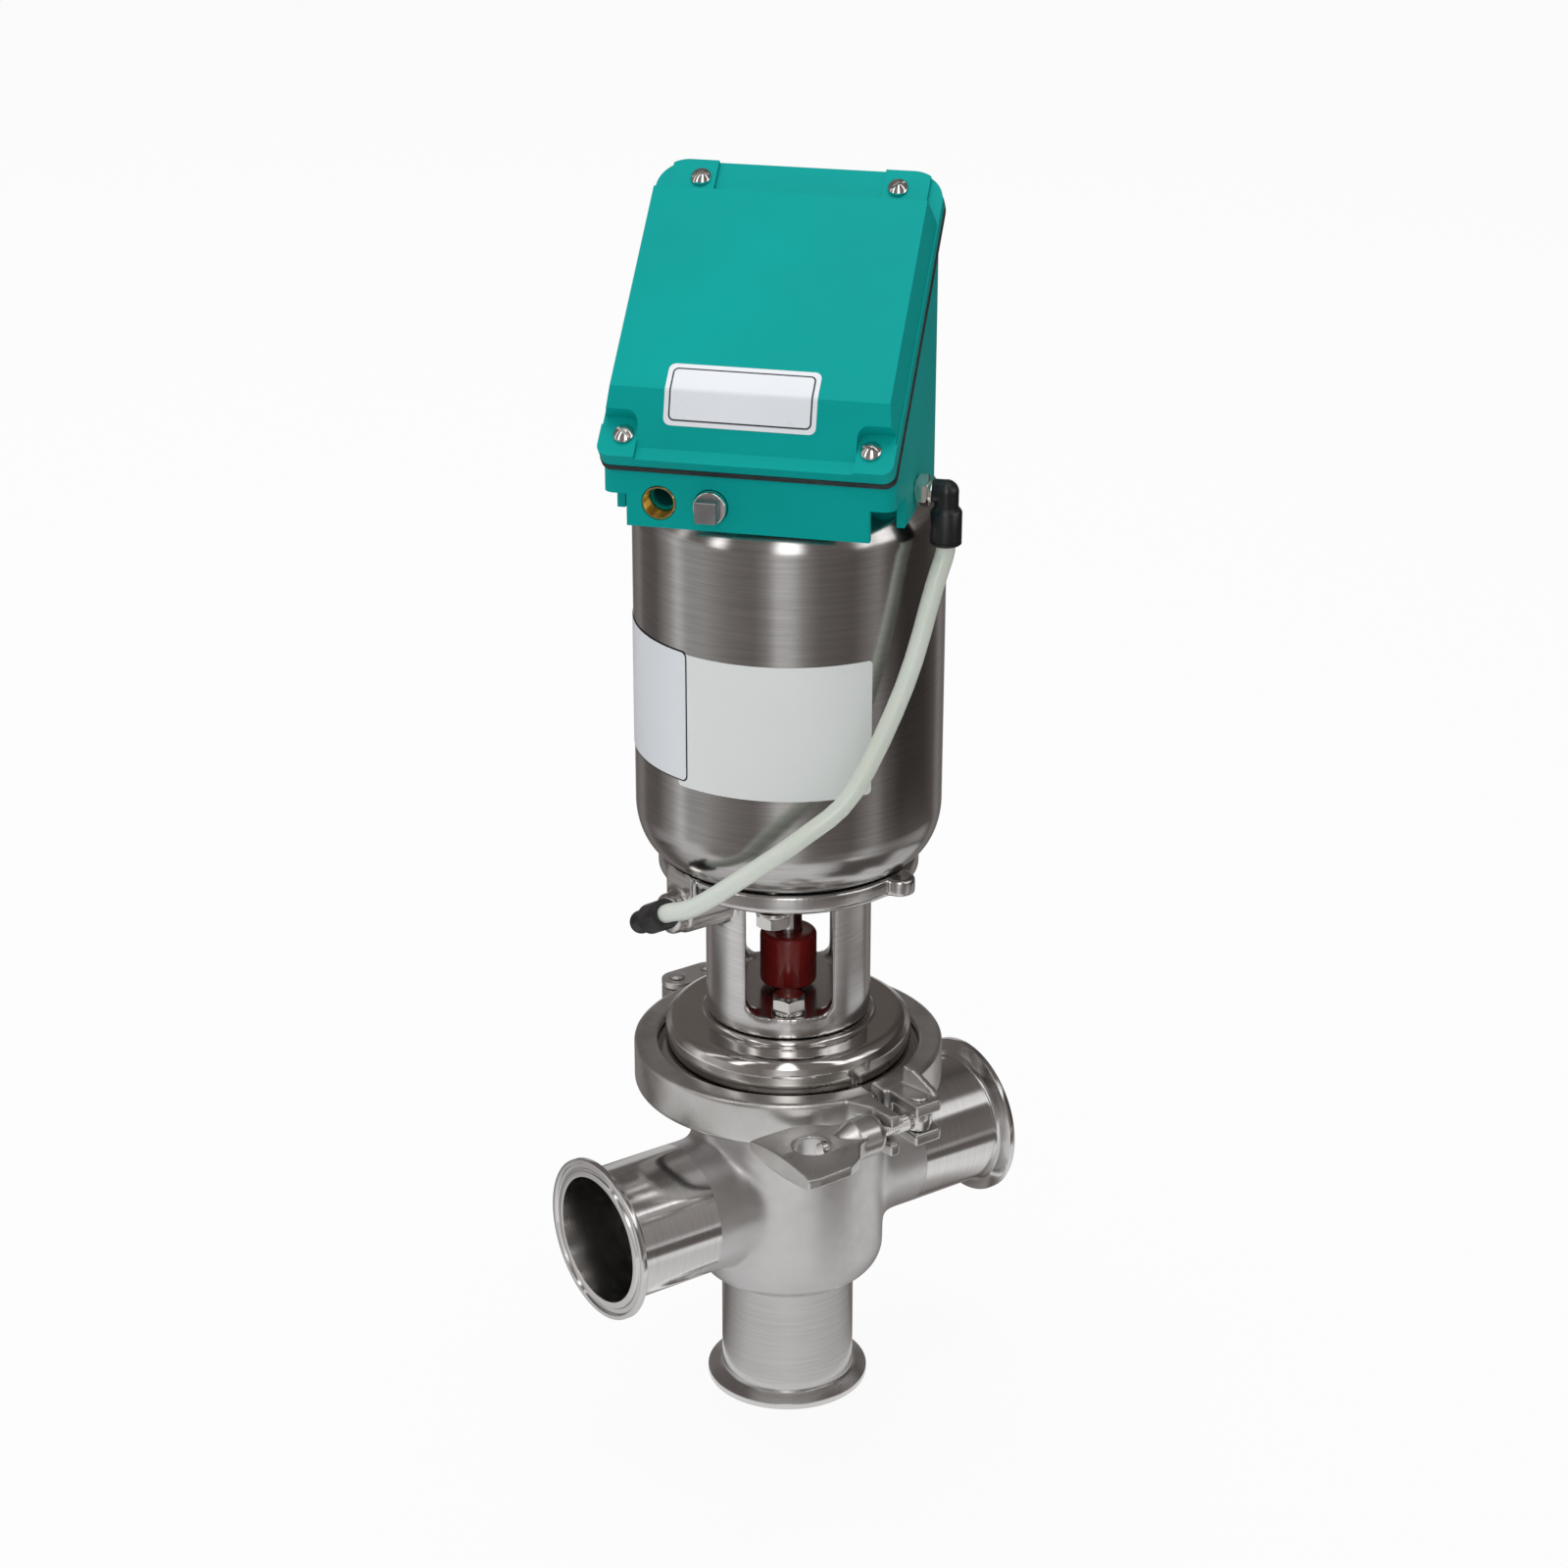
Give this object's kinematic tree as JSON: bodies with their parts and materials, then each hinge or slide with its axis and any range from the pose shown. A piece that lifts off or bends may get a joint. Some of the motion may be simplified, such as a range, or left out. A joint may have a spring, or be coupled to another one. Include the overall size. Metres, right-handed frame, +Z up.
{
  "type": "air-actuated seat valve",
  "caption": "Air-actuated sanitary seat valve: ported body under a clamped bonnet, open yoke, spring-return cylinder with an air line, and a sloping control box on top.",
  "frame": {"origin": "on the valve's axis at the face of the bottom port's ferrule", "axes": "+Z up the stem to the control box, +X along the run to the right port, -Y to the side of the clamp's wing nut"},
  "size_m": [0.217, 0.1981, 0.5912],
  "materials": {
    "polished_steel": "polished stainless steel",
    "brushed_steel": "brushed stainless steel",
    "cast_steel": "blasted and polished stainless casting",
    "spring_steel": "drawn spring wire",
    "nickel": "nickel plated",
    "brass": "turned brass",
    "teal_plastic": "moulded teal plastic with a fine grain",
    "black_plastic": "moulded black plastic",
    "black_rubber": "black elastomer",
    "white_polymer": "white bearing polymer",
    "red_urethane": "dark red translucent urethane",
    "tube_plastic": "milky natural air tubing"
  },
  "bodies": {
    "valve_body": {"bottom_port_ferrule": "polished_steel", "left_port_ferrule": "polished_steel", "right_port_ferrule": "polished_steel", "body_casting": "cast_steel", "bonnet": "polished_steel", "bonnet_gasket": "black_rubber", "stem_seal": "black_rubber", "stem_bush": "white_polymer", "yoke": "cast_steel", "yoke_bolt_front": "nickel", "yoke_bolt_rear": "nickel", "lock_washer_front": "nickel", "lock_washer_rear": "nickel", "plate_bolt_front": "nickel", "plate_bolt_rear": "nickel", "plate_washer_front": "nickel", "plate_washer_rear": "nickel", "clamp_half_left": "cast_steel", "clamp_half_right": "cast_steel", "hinge_link_upper": "cast_steel", "hinge_link_lower": "cast_steel", "hinge_pin_left": "cast_steel", "hinge_pin_right": "cast_steel", "swing_bolt_pin": "cast_steel", "actuator_cylinder": "brushed_steel", "actuator_base": "brushed_steel", "rod_bush": "white_polymer", "upper_bush": "white_polymer", "return_spring": "spring_steel", "control_base": "teal_plastic", "control_cover": "teal_plastic", "cover_gasket": "black_rubber", "cover_screw_low_left": "nickel", "cover_screw_low_right": "nickel", "cover_screw_high_left": "nickel", "cover_screw_high_right": "nickel", "brass_bush": "brass", "pipe_plug": "nickel", "side_fitting": "nickel", "upper_elbow": "black_plastic", "lower_fitting": "nickel", "lower_elbow": "black_plastic", "air_tube": "tube_plastic"},
    "stem_assembly": {"valve_plug": "polished_steel", "plug_seal": "black_rubber", "valve_stem": "polished_steel", "stem_coupling": "red_urethane", "actuator_rod": "polished_steel", "piston": "brushed_steel", "piston_seal": "black_rubber", "piston_nut": "nickel", "trip_collar": "black_plastic"},
    "swing_bolt": {"swing_bolt": "nickel"},
    "wing_nut": {"wing_nut": "cast_steel"}
  },
  "joints": [
    {"name": "stem_lift", "type": "slide", "parent": "valve_body", "child": "stem_assembly", "axis": [0, 0, 1], "range_m": [0, 0.025], "stiffness_N_per_m": 4000, "deforming": ["return_spring"]},
    {"name": "bolt_swing", "type": "hinge", "parent": "valve_body", "child": "swing_bolt", "pos_m": [0.0115, -0.0865, 0.1722], "axis": [0, 0, 1], "range_deg": [0, 100]},
    {"name": "wing_nut_spin", "type": "hinge", "parent": "swing_bolt", "child": "wing_nut", "pos_m": [-0.0115, -0.0865, 0.1722], "axis": [1, 0, 0], "continuous": true}
  ]
}
